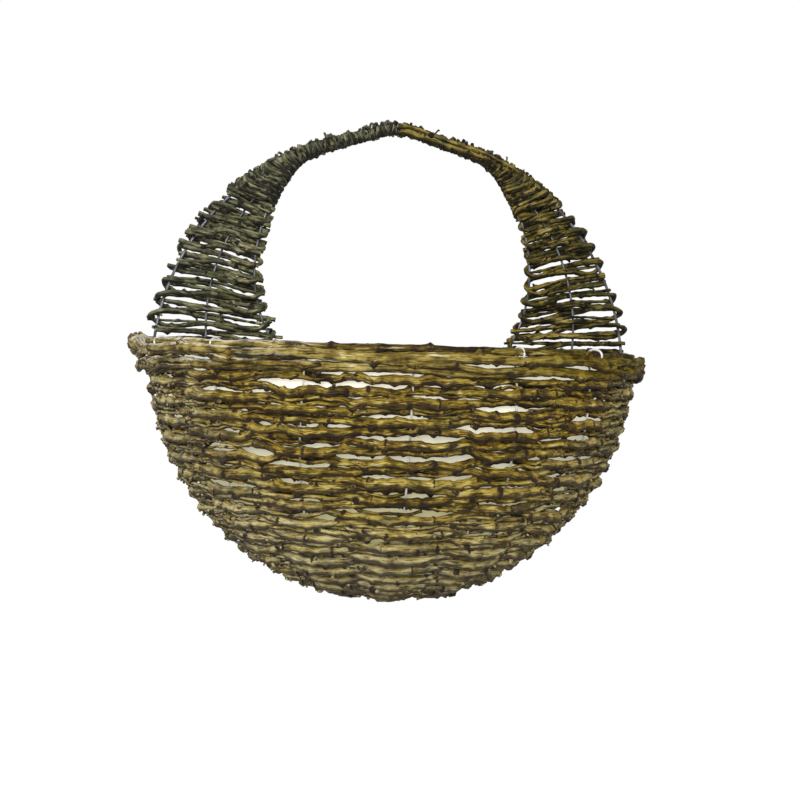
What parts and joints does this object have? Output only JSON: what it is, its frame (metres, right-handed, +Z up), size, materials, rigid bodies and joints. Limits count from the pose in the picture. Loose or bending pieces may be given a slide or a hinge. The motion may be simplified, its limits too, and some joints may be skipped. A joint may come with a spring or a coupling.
{
  "type": "wall basket",
  "caption": "Half-round wall basket woven from knobbly vine twigs on a galvanised wire frame, with a crescent handle to hang it by and a thin liner.",
  "frame": {"origin": "the point under the middle of the handle's top where a hook or nail takes hold, in the plane of the back hoop", "axes": "+Z up, -Y from the wall to the room, +X to the right as seen from the room"},
  "size_m": [0.4086, 0.1993, 0.3796],
  "materials": {
    "galvanised_wire": "dull zinc",
    "vine_twig": "knobbly bark, olive gold",
    "border_vine": "peeling bark",
    "handle_vine": "dark grey-olive bark",
    "liner_plastic": "thin, off-white"
  },
  "bodies": {
    "root": {"back_hoop": "galvanised_wire", "back_rim_wire": "galvanised_wire", "front_rim_wire": "galvanised_wire", "handle_middle_wire": "galvanised_wire", "handle_inner_wire": "galvanised_wire", "rib_1": "galvanised_wire", "rib_2": "galvanised_wire", "rib_3": "galvanised_wire", "rib_4": "galvanised_wire", "rib_5": "galvanised_wire", "rib_6": "galvanised_wire", "rib_7": "galvanised_wire", "front_weaver_01": "vine_twig", "front_weaver_02": "vine_twig", "front_weaver_03": "vine_twig", "front_weaver_04": "vine_twig", "front_weaver_05": "vine_twig", "front_weaver_06": "vine_twig", "front_weaver_07": "vine_twig", "front_weaver_08": "vine_twig", "front_weaver_09": "vine_twig", "front_weaver_10": "vine_twig", "front_weaver_11": "vine_twig", "front_weaver_12": "vine_twig", "front_weaver_13": "vine_twig", "front_weaver_14": "vine_twig", "front_weaver_15": "vine_twig", "front_weaver_16": "vine_twig", "front_weaver_17": "vine_twig", "front_weaver_18": "vine_twig", "upper_border_twig": "border_vine", "lower_border_twig": "border_vine", "inner_border_twig": "border_vine", "left_leg_weaver_1": "handle_vine", "left_leg_weaver_2": "handle_vine", "right_leg_weaver_1": "handle_vine", "right_leg_weaver_2": "handle_vine", "left_handle_winding": "handle_vine", "right_handle_winding": "handle_vine", "liner": "liner_plastic"}
  },
  "joints": []
}
